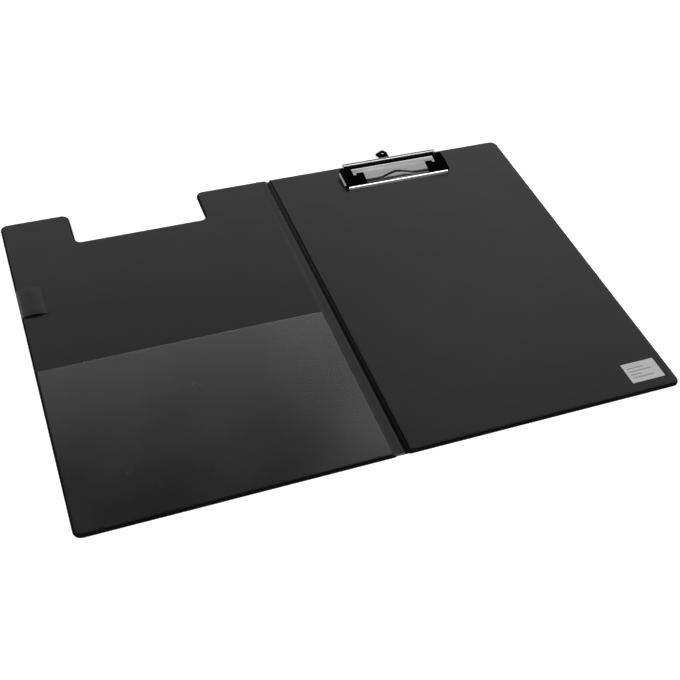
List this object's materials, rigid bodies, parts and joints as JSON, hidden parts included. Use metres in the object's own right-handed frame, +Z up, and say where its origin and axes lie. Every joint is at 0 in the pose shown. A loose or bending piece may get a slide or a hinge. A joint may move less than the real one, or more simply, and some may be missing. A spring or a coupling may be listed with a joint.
{
  "type": "clipboard folder",
  "caption": "A4 fold-over clipboard with a low sprung clip, notched front cover, clear pocket, pen loop and pull-out hanging eyelet.",
  "frame": {"origin": "centre of the open folder's footprint on the table, with the hanging eyelet pulled out", "axes": "+X to the right across both panels, +Y up the page towards the clip's end, +Z up off the table"},
  "size_m": [0.4516, 0.3334, 0.0095],
  "materials": {
    "black_pvc": "fine leather grain, satin",
    "greyboard": "plain",
    "label_paper": "matt",
    "chromed_steel": "polished",
    "bright_steel": "bright",
    "spring_steel": "drawn wire",
    "black_gloss_plastic": "gloss",
    "black_eyelet_plastic": "satin",
    "clear_pvc": "clear, glossy"
  },
  "bodies": {
    "back_panel": {"back_outer_skin": "black_pvc", "back_board": "greyboard", "back_inner_skin": "black_pvc", "label_sticker": "label_paper", "clip_base_plate": "chromed_steel", "clip_rivets": "bright_steel", "rivet_washers": "bright_steel", "pivot_pin": "bright_steel", "torsion_spring_left": "spring_steel", "torsion_spring_right": "spring_steel"},
    "clip_jaw": {"jaw_plate": "chromed_steel", "end_cap_left": "black_gloss_plastic", "end_cap_right": "black_gloss_plastic"},
    "eyelet": {"hanging_eyelet": "black_eyelet_plastic"},
    "spine": {"spine_outer_strip": "black_pvc", "spine_inner_strip": "black_pvc"},
    "front_cover": {"front_outer_skin": "black_pvc", "front_board": "greyboard", "front_inner_skin": "black_pvc", "clear_pocket": "clear_pvc", "pocket_weld_seam": "clear_pvc", "pen_loop": "black_pvc"}
  },
  "joints": [
    {"name": "spine_hinge", "type": "hinge", "parent": "back_panel", "child": "spine", "pos_m": [0.0047, 0, 0.0003], "axis": [0, 1, 0], "range_deg": [-90, 90]},
    {"name": "cover_hinge", "type": "hinge", "parent": "spine", "child": "front_cover", "pos_m": [-0.0047, 0, 0.0003], "axis": [0, 1, 0], "range_deg": [-90, 90]},
    {"name": "jaw_pivot", "type": "hinge", "parent": "back_panel", "child": "clip_jaw", "pos_m": [0.116, 0.13725, 0.0049], "axis": [-1, 0, 0], "range_deg": [0, 15], "stiffness_Nm_per_rad": 0.46, "springref_deg": -37.24, "deforming": ["torsion_spring_left", "torsion_spring_right"]},
    {"name": "eyelet_slide", "type": "slide", "parent": "back_panel", "child": "eyelet", "axis": [0, 1, 0], "range_m": [-0.0105, 0]}
  ]
}
